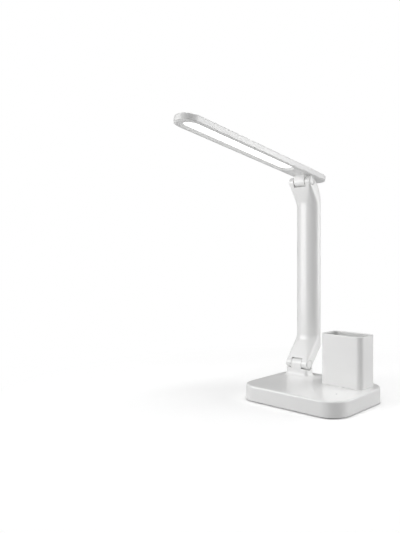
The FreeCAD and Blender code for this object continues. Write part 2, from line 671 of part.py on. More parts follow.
def bend_path(offset, rise, arc, touch):
    """The bend seen from the side: from the upright an arc, then a line tangent to the ear.

    The upright stands offset behind the axis and the arc leaves it at rise, curving forward about
    a middle as far in front as its radius. The line then runs to the circle of radius touch about
    the axis: its rear where touch is more than zero, its front where it is less. Gives the bend's
    length and the point (behind the axis, above it) at a length along it.
    """
    middle = offset - arc
    lean = math.acos((touch - arc) / math.hypot(middle, rise)) - math.atan2(rise, middle)
    start = Vector(middle + arc * math.cos(lean), rise - arc * math.sin(lean))
    end = Vector(touch * math.cos(lean), -touch * math.sin(lean))
    line = start.distanceToPoint(end)

    def at(run):
        if run < arc * lean:
            return Vector(middle + arc * math.cos(run / arc), rise - arc * math.sin(run / arc))
        return start + (end - start) * ((run - arc * lean) / line)

    return arc * lean + line, at


def bend_outlines(hinge, front_rise, rear_rise, rear_arc, way):
    """Outlines from the straight tube to the ears: way is 1 where these lie below it, -1 above.

    Front and rear end tangent to a circle just inside the ear, so that the tube runs into it.
    """
    y, z, radius = hinge.y.number, hinge.z.number, (hinge.ear_radius - s.ear_overlap).number
    behind = arm_rear.number - y
    front_length, front_at = bend_path(arm_front.number - y, front_rise, s.front_bend_arc.number, -radius)
    rear_length, rear_at = bend_path(behind, rear_rise, rear_arc, radius)
    straight = front_rise - rear_rise
    outlines = []
    for step in range(BEND_STEPS + 1):
        share = step / BEND_STEPS
        front = front_at(front_length * share)
        run = (straight + rear_length) * share
        rear = Vector(behind, front_rise - run) if run < straight else rear_at(run - straight)
        outlines.append(outline_across(
            (y + front.x, z + way * front.y), (y + rear.x, z + way * rear.y),
            (arm_half - s.ear_overlap * share / 2).number, *[
                tube_round.number + (s.ear_round.number - tube_round.number) * share
                for tube_round in (arm_front_round, s.arm_side_round, s.arm_rear_round)]))
    return outlines


def upright(low, high, front, rear, half, front_round, side_round, rear_round):
    """A straight stretch of such an outline from one height to another."""
    wire = outline_across((front, low), (rear, low), half, front_round, side_round, rear_round)
    return Part.Face(wire).extrude(Vector(0, 0, high - low))


def ear(hinge):
    """The round end of the arm, as wide as the arm, its rims rounded."""
    x = (arm_x - arm_half).number
    drum = Part.makeCylinder(hinge.ear_radius.number, s.arm_width.number,
                             Vector(x, hinge.y.number, hinge.z.number), Vector(1, 0, 0))
    rims = [edge for edge in drum.Edges if edge.BoundBox.XLength < s.ear_round.number]
    return drum.makeFillet(s.ear_round.number, rims).Solids[0]


def relief(hinge, angle, way):
    """Room between the ears for the neighbour's leg at one end of its travel."""
    deep = hinge.ear_radius + s.slot_gap
    box = bind(doc.addObject("Part::Box", f"{hinge.name}_relief"), Length=2 * hinge.ear, Width=2 * deep,
               Height=2 * deep)
    foot = as_size(0) if way > 0 else -2 * deep
    cos, sin = math.cos(math.radians(angle)), math.sin(math.radians(angle))
    return put(box, arm_x - hinge.ear, hinge.y - deep * cos - foot * sin, hinge.z + foot * cos - deep * sin,
               Rotation(Vector(1, 0, 0), angle))


def arm():
    """The arm's housing with its ears, and the cover that closes its back."""
    low = (lower_z + s.lower_front_bend).number
    high = (upper_z - s.upper_front_bend).number
    rounds = [arm_front_round.number, s.arm_side_round.number, s.arm_rear_round.number]
    front, rear, half = arm_front.number, arm_rear.number, arm_half.number
    pieces = [upright(low, high, front, rear, half, *rounds)]
    for hinge, front_rise, rear_rise, rear_arc, way in (
            (lower, s.lower_front_bend, s.lower_rear_bend, s.lower_rear_arc, 1),
            (upper, s.upper_front_bend, s.upper_rear_bend, s.upper_rear_arc, -1)):
        outlines = bend_outlines(hinge, front_rise.number, rear_rise.number, rear_arc.number, way)
        pieces.append(Part.makeLoft(outlines, True, True))
        pieces.append(ear(hinge))
    form = shaped("arm_form", pieces[0].fuse(pieces[1:]).removeSplitter())
    wall = s.arm_wall.number
    cavity_low = lower_z + s.lower_front_bend - s.cover_overlap
    cavity_high = upper_z - s.upper_front_bend - s.cover_overlap
    room = shaped("arm_room", upright(
        cavity_low.number, cavity_high.number, front + wall, rear - s.cover_thickness.number, half - wall,
        *[tube_round - wall for tube_round in rounds]))
    cover_y = arm_rear - s.cover_thickness / 2
    cover_low, cover_high = cavity_low - s.cover_overlap, cavity_high + s.cover_overlap
    cutters = [room]
    cover_width = s.arm_width - 2 * s.cover_margin
    cutters.append(block("cover_opening", arm_x, cover_y + s.overrun / 2, cover_low, cover_width,
                         s.cover_thickness + s.overrun, cover_high - cover_low))
    for hinge, swings, way in (
            (lower, (BACK_LEAN, 0, -FRONT_FOLD), -1),
            (upper, (-HEAD_TILT - HEAD_LIFT, HEAD_FOLD - HEAD_TILT), 1)):
        cutters.append(rod(f"{hinge.name}_slot", arm_x - hinge.ear, hinge.y, hinge.z,
                           hinge.ear_radius + s.slot_gap, 2 * hinge.ear, RIGHT))
        cutters += [relief(hinge, swing, way) for swing in swings]
        for side in (-1, 1):
            cutters.append(hinge.rod("bore", s.shank_radius + s.running_clearance, hinge.half,
                                     arm_half, side))
            cutters.append(hinge.rod("pocket", hinge.pocket_radius, hinge.web, arm_half, side))
            cutters.append(hinge.rod("cap_seat", hinge.cap_radius, arm_half - s.cap_thickness,
                                     arm_half + s.overrun, side))
    cutters.append(shaped("lead_channel", tube(arm_lead_route, s.lead_radius + s.channel_gap, s.lead_bend)))
    screw_places = [cavity_low + s.cover_overlap, cavity_high - s.cover_overlap]
    posts = [rod("cover_post", arm_x, arm_rear - s.cover_thickness, z, s.cover_post_radius,
                 s.arm_depth - s.cover_thickness - s.arm_wall / 2, FRONT) for z in screw_places]
    seats = [rod("cover_seat", arm_x, arm_rear, z, s.screw_head_radius, s.screw_head_thickness, FRONT)
             for z in screw_places]
    depth = s.screw_head_thickness + s.screw_length
    threads = [rod("cover_thread", arm_x, arm_rear, z, s.screw_radius, depth, FRONT) for z in screw_places]
    posted = fuse("arm_posted", cut("arm_hollow", form, *cutters), *posts)
    keep("arm_shell", cut("arm_shell", posted, *threads))
    cover = block("cover_form", arm_x, cover_y, cover_low + s.fit_gap, cover_width - 2 * s.fit_gap,
                  s.cover_thickness, cover_high - cover_low - 2 * s.fit_gap)
    holes = [rod("cover_hole", arm_x, arm_rear, z, s.screw_radius, s.cover_thickness, FRONT)
             for z in screw_places]
    keep("arm_rear_cover", cut("arm_rear_cover", cover, *seats, *holes))
    screws = [screw("cover_screw", s.screw_radius, s.screw_length, s.screw_head_radius,
                    s.screw_head_thickness, arm_x, arm_rear, z, FRONT) for z in screw_places]
    keep("arm_cover_screws", group("arm_cover_screws", screws))


def hinge_stack(hinge):
    """What turns the ears on the knuckle: a pin, a hollow bush for the lead, washers and caps."""
    name = hinge.name
    length = hinge.seat_depth + s.washer_thickness + s.ear_web
    pin_length = length + s.spring_washer_thickness
    pin = turned(f"{name}_hinge_pin", [
        (0, 0),
        (s.shank_radius, 0),
        (s.shank_radius, pin_length),
        (s.pin_head_radius, pin_length),
        (s.pin_head_radius, pin_length + s.pin_head_thickness),
        (s.screw_radius, pin_length + s.pin_head_thickness),
        (s.screw_radius, pin_length + s.pin_head_thickness / 2),
        (0, pin_length + s.pin_head_thickness / 2),
    ])
    keep(f"{name}_hinge_pin", hinge.stand(pin, hinge.seat, 1))
    bush = turned(f"{name}_hinge_bush", [
        (s.bush_bore_radius, 0),
        (s.shank_radius, 0),
        (s.shank_radius, length),
        (s.pin_head_radius, length),
        (s.pin_head_radius, length + s.flange_thickness),
        (s.bush_bore_radius, length + s.flange_thickness),
    ])
    keep(f"{name}_hinge_bush", hinge.stand(bush, hinge.seat, -1))
    hole, rim = s.shank_radius + s.running_clearance, hinge.ear_radius - s.washer_rim
    thickness = s.washer_thickness
    washers, caps = [], []
    for side in (-1, 1):
        washer = turned(f"{name}_washer", [(hole, 0), (rim, 0), (rim, thickness), (hole, thickness)])
        washers.append(hinge.stand(washer, hinge.half, side))
        radius, dome = hinge.cap_radius - s.running_clearance, s.cap_thickness + s.cap_dome
        cap = turned(f"{name}_cap", [
            (0, 0),
            (radius, 0),
            (radius, s.cap_thickness),
            (radius - s.cap_dome, dome),
            (0, dome),
        ])
        caps.append(hinge.stand(cap, arm_half - s.cap_thickness, side))
    keep(f"{name}_friction_washers", group(f"{name}_friction_washers", washers))
    keep(f"{name}_hinge_caps", group(f"{name}_hinge_caps", caps))
    tall = s.spring_washer_thickness
    spring = turned(f"{name}_spring_washer", [
        (hole, tall / 2),
        (s.pin_head_radius, 0),
        (s.pin_head_radius, tall / 2),
        (hole, tall),
    ])
    keep(f"{name}_spring_washer", hinge.stand(spring, hinge.web, 1))


# Head: built level about its hinge axis, then tilted up towards its tip

def seat_head(thing):
    """Moves a piece of the head from the hinge's own frame to its place on the arm."""
    if thing.isDerivedFrom("Part::Primitive"):
        thing = group(thing.Name + "_seated", [thing])
    return put(thing, arm_x, upper_y, upper_z, Rotation(Vector(1, 0, 0), -HEAD_TILT))


rim_z = s.head_under + s.bezel_rise
crown_z = rim_z + s.head_side + s.head_crown
roof_z = crown_z - s.head_wall
window_top = s.head_under + s.window_depth
head_length = s.head_front + s.head_rear
head_y = (s.head_rear - s.head_front) / 2
window_length = s.window_front - s.window_rear
window_y = -(s.window_front + s.window_rear) / 2
flange_z = rim_z + s.mount_gap
flange_top = flange_z + s.mount_flange
mount_places = [
    (side * s.mount_screw_side, y) for side in (-1, 1) for y in (-s.mount_screw_front, s.mount_screw_rear)]
bezel_screw_places = [
    (side * s.bezel_screw_side, y) for side in (-1, 1) for y in (-s.bezel_screw_front, s.bezel_screw_rear)]
frame_z = window_top + s.diffuser_thickness
led_board_z = roof_z - s.led_board_thickness
led_plug_y = window_y + window_length / 2 + s.plug_depth / 2


def head_shell():
    """The head's upper housing, open below, with posts for the hinge block's screws."""
    body = doc.addObject("PartDesign::Body", "head_form")
    slab(body, "head_outline", 0, head_y, rim_z, s.head_width, head_length, crown_z - rim_z, s.head_corner)
    soften(body, "Fillet", s.head_round, level(crown_z.number))
    wall = s.head_wall
    sink(body, "head_room", 0, head_y, rim_z, s.head_width - 2 * wall, head_length - 2 * wall, roof_z - rim_z,
         s.head_corner - wall)
    posts = [rod("mount_post", x, y, flange_top, s.mount_post_radius, roof_z - flange_top + wall / 2)
             for x, y in mount_places]
    holes = [rod("mount_thread", x, y, flange_top, s.screw_radius, roof_z - flange_top)
             for x, y in mount_places]
    keep("head_shell", seat_head(cut("head_shell", fuse("head_posted", body, *posts), *holes)))


def bezel():
    """The underside frame: a sloped rim, a locating lip and the light's bevelled window."""
    body = doc.addObject("PartDesign::Body", "bezel_form")
    slope = 2 * s.bezel_slope
    below = rounded_rectangle(sketch(body, "bezel_below", "XY_Plane", 0, head_y, s.head_under),
                              s.head_width - slope, head_length - slope, s.head_corner - s.bezel_slope)
    above = rounded_rectangle(sketch(body, "bezel_above", "XY_Plane", 0, head_y, rim_z),
                              s.head_width, head_length, s.head_corner)
    loft = body.newObject("PartDesign::AdditiveLoft", "bezel_rim")
    loft.Profile = below
    loft.Sections = [above]
    loft.Ruled = True
    inset = s.head_wall + s.fit_gap
    slab(body, "lip", 0, head_y, rim_z, s.head_width - 2 * inset, head_length - 2 * inset, s.lip_height,
         s.head_corner - inset)
    inset = inset + s.lip_wall
    sink(body, "lip_room", 0, head_y, rim_z, s.head_width - 2 * inset, head_length - 2 * inset, s.lip_height,
         s.head_corner - inset)
    frame_low = s.head_under + s.bezel_rise / 2
    slab(body, "window_frame", 0, window_y, frame_low, s.window_width + 2 * s.window_rim,
         window_length + 2 * s.window_rim, window_top - frame_low, s.window_corner + s.window_rim)
    narrow = 2 * s.window_slope
    mouth = rounded_rectangle(sketch(body, "window_mouth", "XY_Plane", 0, window_y, s.head_under),
                              s.window_width, window_length, s.window_corner)
    throat = rounded_rectangle(sketch(body, "window_throat", "XY_Plane", 0, window_y, window_top),
                               s.window_width - narrow, window_length - narrow,
                               s.window_corner - s.window_slope)
    opening = body.newObject("PartDesign::SubtractiveLoft", "window_opening")
    opening.Profile = mouth
    opening.Sections = [throat]
    opening.Ruled = True
    cutters = [block("neck_hole", 0, 0, 0, 2 * (upper.half + s.fit_gap), 2 * (s.upper_ear_radius + s.fit_gap),
                     crown_z)]
    screws = []
    for x, y in bezel_screw_places:
        cutters.append(rod("bezel_hole", x, y, 0, s.small_screw_radius, crown_z))
        cutters.append(rod("bezel_seat", x, y, 0, s.small_head_radius, s.head_under + s.small_head_thickness))
        screws.append(screw("bezel_screw", s.small_screw_radius, s.mount_flange, s.small_head_radius,
                            s.small_head_thickness, x, y, s.head_under))
    keep("bezel", seat_head(cut("bezel", body, *cutters)))
    keep("bezel_screws", seat_head(group("bezel_screws", screws)))


def hinge_block():
    """The head's knuckle on its neck, with the flange that is screwed inside the housing."""
    body = doc.addObject("PartDesign::Body", "hinge_block_form")
    drawing = sketch(body, "head_knuckle", "YZ_Plane", 0, 0, -upper.half)
    tongue(drawing, s.upper_ear_radius, flange_top - s.mount_flange / 2, 1)
    pad(body, drawing, 2 * upper.half)
    slab(body, "mount_flange", 0, (s.flange_rear - s.flange_front) / 2, flange_z, s.flange_width,
         s.flange_rear + s.flange_front, s.mount_flange, s.mount_post_radius)
    cutters = [block("neck_channel", -(upper.seat - s.lead_room) / 2, 0, -s.lead_room,
                     upper.seat + s.lead_room, 2 * s.lead_room, flange_top + s.lead_room + s.overrun)]
    for side, turn in ((-1, LEFT), (1, RIGHT)):
        cutters.append(rod("head_seat", side * upper.seat, 0, 0, s.shank_radius + s.running_clearance,
                           upper.seat_depth + s.overrun, turn))
    screws = []
    for x, y in mount_places:
        cutters.append(rod("mount_hole", x, y, flange_z, s.screw_radius, s.mount_flange))
        cutters.append(rod("mount_seat", x, y, flange_z, s.screw_head_radius + s.running_clearance,
                           s.screw_head_thickness))
        screws.append(screw("mount_screw", s.screw_radius, s.short_screw_length, s.screw_head_radius,
                            s.screw_head_thickness, x, y, flange_z))
    for x, y in bezel_screw_places:
        cutters.append(rod("bezel_thread", x, y, flange_z, s.small_screw_radius, s.mount_flange))
    keep("head_hinge_block", seat_head(cut("head_hinge_block", body, *cutters)))
    keep("hinge_block_screws", seat_head(group("hinge_block_screws", screws)))


def lighting():
    """The diffuser on the window's frame, the reflector frame, and the board of light chips."""
    diffuser = doc.addObject("PartDesign::Body", "diffuser")
    slab(diffuser, "diffuser_outline", 0, window_y, window_top, s.window_width, window_length,
         s.diffuser_thickness, s.light_corner)
    keep("diffuser", seat_head(diffuser))
    frame = doc.addObject("PartDesign::Body", "reflector_frame")
    height = led_board_z - frame_z
    slab(frame, "frame_outline", 0, window_y, frame_z, s.window_width, window_length, height, s.light_corner)
    inset = 2 * s.frame_wall
    sink(frame, "frame_room", 0, window_y, frame_z, s.window_width - inset, window_length - inset, height,
         s.light_corner - s.frame_wall)
    keep("reflector_frame", seat_head(frame))
    board = block("led_board", 0, window_y + s.plug_depth / 2, led_board_z, s.window_width - inset,
                  window_length + s.plug_depth, s.led_board_thickness)
    keep("led_board", seat_head(board))
    chips = []
    pitch = (window_length - 2 * s.light_corner) / CHIPS_PER_ROW
    for row in (-1, 1):
        for place in range(CHIPS_PER_ROW):
            y = window_y + pitch * (place - (CHIPS_PER_ROW - 1) / 2)
            chips.append(block("chip", row * s.chip_row_gap / 2, y, led_board_z - s.chip_thickness,
                               s.chip_width, s.chip_length, s.chip_thickness))
    keep("led_chips", seat_head(group("led_chips", chips)))
    plug = block("led_plug_form", 0, led_plug_y, led_board_z - s.chip_height, s.plug_width, s.plug_depth / 2,
                 s.chip_height)
    keep("led_plug", seat_head(plug))


def leads():
    """The two-core leads: held all the way, they pass each hinge along its axis, inside the bush."""
    keep("base_lead", shaped("base_lead", tube(base_lead_route, s.lead_radius, s.lead_bend)))
    keep("supply_lead", shaped("supply_lead", tube(supply_route, s.lead_radius, s.lead_bend)))
    keep("arm_lead", shaped("arm_lead", tube(arm_lead_route, s.lead_radius, s.lead_bend)))
    plug_end = led_plug_y + s.plug_depth / 4
    lead_z = led_board_z - s.lead_radius
    route = [(-upper.flange, 0, 0), (0, 0, 0), (0, 0, lead_z), (0, plug_end, lead_z)]
    keep("head_lead", seat_head(shaped("head_lead", tube(route, s.lead_radius, s.lead_bend))))


base_shell()
base_floor()
control_board()
power_socket()
pen_cup()
arm()
hinge_stack(lower)
hinge_stack(upper)
head_shell()
bezel()
hinge_block()
lighting()
leads()
doc.recompute()

failed = [thing.Name for thing in doc.Objects if {"Invalid", "Error"} & set(thing.State)]
if failed:
    raise RuntimeError(f"these failed: {failed}")
for name, thing in nodes.items():
    if thing.Shape.isNull() or not thing.Shape.isValid():
        raise RuntimeError(f"{name} has no valid shape")
os.makedirs("parts", exist_ok=True)
for name, thing in nodes.items():
    thing.Shape.exportStep(f"parts/{name}.step")
print(f"{len(nodes)} nodes, {sum(len(thing.Shape.Solids) for thing in nodes.values())} solids")
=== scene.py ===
"""A folding desk lamp with a pen cup on its base, dressed round its CAD parts.

X runs along the base's front edge, Y to the back and Z up. Sizes are in millimetres; a mesh is
made in metres, in the frame of the CAD parts.
"""

import json
import math

import bpy
import numpy as np
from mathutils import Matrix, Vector


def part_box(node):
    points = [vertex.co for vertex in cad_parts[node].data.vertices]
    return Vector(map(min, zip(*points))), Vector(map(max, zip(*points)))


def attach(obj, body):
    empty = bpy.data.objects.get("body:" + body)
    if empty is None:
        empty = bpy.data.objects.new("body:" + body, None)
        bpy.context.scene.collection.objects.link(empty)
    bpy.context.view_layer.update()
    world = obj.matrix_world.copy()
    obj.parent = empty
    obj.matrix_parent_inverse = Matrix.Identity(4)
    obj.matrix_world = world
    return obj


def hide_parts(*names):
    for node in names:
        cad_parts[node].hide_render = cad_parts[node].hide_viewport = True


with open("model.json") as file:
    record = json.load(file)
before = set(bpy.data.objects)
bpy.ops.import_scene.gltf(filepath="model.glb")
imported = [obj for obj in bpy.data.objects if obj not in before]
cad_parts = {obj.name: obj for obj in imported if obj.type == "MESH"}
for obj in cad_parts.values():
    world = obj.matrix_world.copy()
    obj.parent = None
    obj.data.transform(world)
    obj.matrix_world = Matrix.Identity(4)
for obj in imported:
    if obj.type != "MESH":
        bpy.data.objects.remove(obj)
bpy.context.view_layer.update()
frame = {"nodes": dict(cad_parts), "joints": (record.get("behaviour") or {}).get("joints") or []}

MM = 0.001


# Sizes

def box_mm(node):
    """Lowest and highest corner of a CAD part, in millimetres."""
    low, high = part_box(node)
    return np.array(low) / MM, np.array(high) / MM


axis = {joint["name"]: np.array(joint["pos_m"]) / MM for joint in frame["joints"]}
LOWER_AXIS, UPPER_AXIS = axis["arm_fold"], axis["head_fold"]
ARM_X = LOWER_AXIS[0]

CORNER_POINTS, SMALL_CORNER_POINTS = 14, 7
ARC_POINTS = 9
ROUND_POINTS = 72
BEND_SECTIONS = 40
HOLD, HOLD_SHARE = 0.35, 0.25
LEAST_RADIUS = 0.2
SHARP_ANGLE = math.radians(32)

BASE_WIDTH, BASE_DEPTH = 160, 120
BASE_CORNER = 26
BASE_BOTTOM, BASE_TOP = 1.2, 21.1
BASE_EDGE, BASE_FOOT_ROUND = 2.4, 0.5
BASE_WALL, BASE_INNER_ROUND, BASE_REACH = 2.4, 1, 12
MAT_CORNER, MAT_EDGE, MAT_REACH = 23, 0.3, 8
DOT_HOLE, DOT_HOLE_REACH = 2.4, 4
LENS_WIDTH, LENS_FLANGE, LENS_STEP, LENS_EDGE = 3.8, 1, 0.9, 0.25
LENS_UNDER_REACH, LENS_TOP_REACH = 0.6, 1.7
SOCKET_HOLE, SOCKET_HOLE_DEPTH = 9.2, 12

PEDESTAL_WIDTH, PEDESTAL_DEPTH = 37.8, 17.4
PEDESTAL_FRONT_GAP, PEDESTAL_RISE = 7.4, 10.9
PEDESTAL_Y = LOWER_AXIS[1] - PEDESTAL_FRONT_GAP + PEDESTAL_DEPTH / 2
PEDESTAL_TOP = BASE_TOP + PEDESTAL_RISE
PEDESTAL_CORNER = 4.5
PEDESTAL_FLARE, FLARE_OVERRUN, FLARE_SINK = 4.8, 0.5, 0.01
PEDESTAL_ROUND, PEDESTAL_REACH = 1, 3
PEDESTAL_SINK = 1.2
SADDLE_RADIUS = 8.6

CUP_WIDTH, CUP_DEPTH = 64.4, 36.5
CUP_X, CUP_Y = 36.8, 29.25
CUP_CORNER = 8
CUP_HEIGHT = 67.9
CUP_TOP = BASE_TOP + CUP_HEIGHT
CUP_WALL, CUP_FLOOR, CUP_LIP = 2, 3, 0.8
CUP_FOOT_ROUND, CUP_INNER_ROUND, CUP_REACH = 0.4, 1.2, 7
BOSS_WIDTH, BOSS_FOOT, BOSS_RISE = 6.8, 1, 3
BOSS_SIDE, BOSS_EDGE, BOSS_REACH = 19, 0.4, 2

ARM_HALF = 18.9
ARM_SETBACK, ARM_DEPTH = 10, 19.2
ARM_FRONT = LOWER_AXIS[1] + ARM_SETBACK
ARM_REAR = ARM_FRONT + ARM_DEPTH
FRONT_ROUND, SIDE_ROUND, REAR_ROUND = 17.4, 14.4, 2.6
FRONT_ARC, LOWER_REAR_ARC, UPPER_REAR_ARC = 16, 8, 40
LOWER_FRONT_RISE, LOWER_REAR_RISE = 39.4, 25.6
UPPER_FRONT_RISE, UPPER_REAR_RISE = 33.9, 30
LOWER_LEG_ANGLES, UPPER_LEG_ANGLES = (17, 0, -90), (-50.42, 91.58)
EAR_ROUND, EAR_OVERLAP, DRUM_BORE = 1.1, 0.15, 2
SLOT_GAP = 0.7
COVER_GAP, SEAT_OVERRUN = 0.15, 2
CAP_RIM, CAP_GROOVE, CAP_DOME = 1.15, 0.8, 0.7
CAP_DEPTH, CAP_EDGE, CAP_HUB = 1.5, 0.45, 1
KNUCKLE_EDGE, KNUCKLE_REACH = 0.5, 1

HEAD_TILT = math.radians(-8.42)
HEAD_FRONT, HEAD_REAR = 235.5, 44.5
HEAD_WIDTH, HEAD_LENGTH = 35.4, HEAD_FRONT + HEAD_REAR
HEAD_Y = (HEAD_REAR - HEAD_FRONT) / 2
HEAD_CORNER = 16.5
HEAD_UNDER, HEAD_RIM, HEAD_CROWN = 9.1, 10.3, 18.4
HEAD_WALL, HEAD_ROUND = 1.6, 2.2
HEAD_INNER_ROUND, HEAD_REACH = 0.8, 8
RIM_EDGE = 0.15
BEZEL_SLOPE, BEZEL_EDGE, BEZEL_FLAT = 2.6, 0.8, 1.2
LIP_OUTER, LIP_INNER, LIP_RISE = 1.75, 2.95, 1.2
WINDOW_WIDTH, WINDOW_LENGTH = 26.4, 198.2
WINDOW_Y = -127.9
WINDOW_CORNER = 13
WINDOW_SLOPE, WINDOW_TOP, WINDOW_RIM = 3, 12.3, 1.4
WINDOW_EDGE, WINDOW_FLAT = 0.5, 1.5
DIFFUSER_TOP, DIFFUSER_CORNER, DIFFUSER_REACH = 13.8, 12, 6
NECK_HOLE_HALF_WIDTH, NECK_HOLE_HALF_DEPTH = 9.45, 7.15
NECK_RISE = 12
SCREW_SIDE, SCREW_FRONT, SCREW_REAR = 7.6, -13.7, 15
SCREW_SEAT, SCREW_SEAT_DEPTH = 3, 0.9
FLANGE_WIDTH, FLANGE_DEPTH, FLANGE_CORNER = 29, 38, 2.3
FLANGE_BOTTOM, FLANGE_TOP, FLANGE_REACH = 10.4, 12.8, 1
FLANGE_Y = 1


class Hinge:
    """Where one hinge's parts lie, counted outwards from the arm's middle along the axis."""

    def __init__(self, centre, ear_radius, knuckle_half, ear_gap):
        self.centre = centre
        self.ear_radius = ear_radius
        self.knuckle_half = knuckle_half
        self.ear = knuckle_half + ear_gap
        self.cap_radius = ear_radius - CAP_RIM


LOWER = Hinge(LOWER_AXIS, ear_radius=7.4, knuckle_half=8.8, ear_gap=0.6)
UPPER = Hinge(UPPER_AXIS, ear_radius=7.0, knuckle_half=9.3, ear_gap=1.1)


# Surfaces

def rounded(corners):
    """A profile through corners (a, b, radius), each rounded by an arc tangent to both its runs.

    With v0 and v1 from the arc's centre to its ends and f the angle between them, the arc is
    (v0 sin((1-k) f) + v1 sin(k f)) / sin f for k from 0 to 1. A point just off each end keeps
    the shading of the flat runs flat.
    """
    points = []
    for n, (a, b, radius) in enumerate(corners):
        here = np.array([a, b], float)
        if radius == 0 or n in (0, len(corners) - 1):
            points.append(here[None])
            continue
        back = np.array(corners[n - 1][:2]) - here
        on = np.array(corners[n + 1][:2]) - here
        back_run, on_run = np.linalg.norm(back), np.linalg.norm(on)
        back, on = back / back_run, on / on_run
        half = math.acos(np.clip(back @ on, -1, 1)) / 2
        reach = radius / math.tan(half)
        centre = here + (back + on) / np.linalg.norm(back + on) * radius / math.sin(half)
        v0, v1 = here + back * reach - centre, here + on * reach - centre
        turn = math.pi - 2 * half
        k = np.linspace(0, 1, ARC_POINTS)[:, None]
        arc = centre + (v0 * np.sin((1 - k) * turn) + v1 * np.sin(k * turn)) / math.sin(turn)
        before = arc[:1] + back * min(HOLD, (back_run - reach) * HOLD_SHARE)
        after = arc[-1:] + on * min(HOLD, (on_run - reach) * HOLD_SHARE)
        points.append(np.concatenate([before, arc, after]))
    return np.concatenate(points)


def carried(width, depth, radius, profile, x=0.0, y=0.0):
    """A profile of (inset, height) carried round a rounded rectangle about (x, y).

    At each inset the outline shrinks by it on all sides. Its points are each corner's centre
    plus the corner's radius times (cos t, sin t), t over that corner's quarter turn.
    """
    inset, height = np.asarray(profile, float).T[:, :, None, None]
    turn = ((np.arange(4)[:, None] + np.linspace(0, 1, CORNER_POINTS)) * math.pi / 2)[None]
    side = np.array([1, -1, -1, 1])[None, :, None]
    end = np.array([1, 1, -1, -1])[None, :, None]
    r = np.maximum(radius - inset, LEAST_RADIUS)
    across = x + side * (width / 2 - inset - r) + r * np.cos(turn)
    along = y + end * (depth / 2 - inset - r) + r * np.sin(turn)
    rings = np.stack([across, along, np.broadcast_to(height, across.shape)], axis=-1)
    return rings.reshape(len(rings), -1, 3)


def post(width, profile, x=0.0, y=0.0):
    """A profile of (inset, height) carried round a circle: a rounded square that is all corners."""
    return carried(width, width, width / 2, profile, x, y)


def revolved(centre, profile):
    """A profile of (offset, radius) turned about the X line through a centre.

    y and z follow the centre plus radius (cos t, sin t), t over a full turn.
    """
    offset, radius = np.asarray(profile, float).T[:, :, None]
    turn = np.linspace(0, 2 * math.pi, ROUND_POINTS, endpoint=False)[None]
    x = np.broadcast_to(centre[0] + offset, (len(offset), ROUND_POINTS))
    y, z = centre[1] + radius * np.cos(turn), centre[2] + radius * np.sin(turn)
    return np.stack([x, y, z], axis=-1)


def tongue(centre, radius, half, reach):
    """A hinge's knuckle about the X line through a centre, with a leg to height reach from it.

    Its outline, half a circle and two straight sides, is carried along X and shrinks by the
    knuckle's edge round at both ends.
    """
    inner = KNUCKLE_EDGE + KNUCKLE_REACH
    side = rounded([
        (inner, -half, 0), (0, -half, KNUCKLE_EDGE), (0, half, KNUCKLE_EDGE), (inner, half, 0)])
    inset, offset = side[:, 0, None], side[:, 1, None]
    first = math.pi if reach > 0 else 0.0
    turn = first + np.linspace(0, math.pi, ROUND_POINTS // 2)[None]
    r = radius - inset
    ends = -np.cos(first) * np.array([[1.0, -1.0]])
    y = np.concatenate([r * np.cos(turn), r * ends], axis=1)
    z = np.concatenate([r * np.sin(turn), np.broadcast_to(reach, (len(r), 2))], axis=1)
    x = np.broadcast_to(offset, y.shape)
    return np.stack([x, y, z], axis=-1) + np.asarray(centre)


def brick(low, high):
    """A plain block between two corners, as two rings of four points."""
    (x0, y0, z0), (x1, y1, z1) = low, high
    ring = np.array([(x0, y0), (x1, y0), (x1, y1), (x0, y1)], float)
    return np.stack([np.column_stack([ring, np.full(4, z)]) for z in (z0, z1)])


def turned_about_x(rings, centre, angle):
    """Rings turned about an X line: y' = y cos a - z sin a, z' = y sin a + z cos a."""
    x, y, z = np.moveaxis(rings - centre, -1, 0)
    cos, sin = math.cos(angle), math.sin(angle)
    return np.stack([x, y * cos - z * sin, y * sin + z * cos], axis=-1) + centre


def on_head(rings):
    """Carries rings from the head's own frame, level about its hinge, to the tilted head."""
    return turned_about_x(rings + UPPER_AXIS, UPPER_AXIS, HEAD_TILT)


# Meshes

def solid(name, rings, looped=False):
    """An object from a grid of rings (levels, around, 3), all wound the same way.

    Quads join neighbouring points, and the last level meets the first where the profile is
    looped. Otherwise a flat face closes each end.
    """
    levels, around = rings.shape[:2]
    index = np.arange(levels * around).reshape(levels, around)
    rows = np.vstack([index, index[:1]]) if looped else index
    a, b = rows[:-1], rows[1:]
    quads = np.stack([a, np.roll(a, -1, 1), np.roll(b, -1, 1), b], axis=-1).reshape(-1, 4)
    ends = [] if looped else [index[0, ::-1].tolist(), index[-1].tolist()]
    mesh = bpy.data.meshes.new(name)
    mesh.from_pydata((rings.reshape(-1, 3) * MM).tolist(), [], quads.tolist() + ends)
    thing = bpy.data.objects.new(name, mesh)
    bpy.context.scene.collection.objects.link(thing)
    return thing


def combined(thing, others, operation):
    """The thing with the others added ("UNION") or taken out ("DIFFERENCE"). The others go."""
    for other in others:
        step = thing.modifiers.new("step", "BOOLEAN")
        step.operation = operation
        step.solver = "EXACT"
        step.object = other
        graph = bpy.context.evaluated_depsgraph_get()
        made = bpy.data.meshes.new_from_object(thing.evaluated_get(graph))
        thing.modifiers.clear()
        thing.data = made
        bpy.data.objects.remove(other)
    return thing


def dressed(thing, body, slot, material, *nodes):
    """Smooths a finished piece up to its sharp edges and lets it stand for its CAD parts."""
    mesh = thing.data
    mesh.polygons.foreach_set("use_smooth", np.ones(len(mesh.polygons), bool))
    mesh.set_sharp_from_angle(angle=SHARP_ANGLE)
    mesh.materials.clear()
    mesh.materials.append(material)
    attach(thing, body)
    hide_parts(*nodes)
    return thing


# Finishes

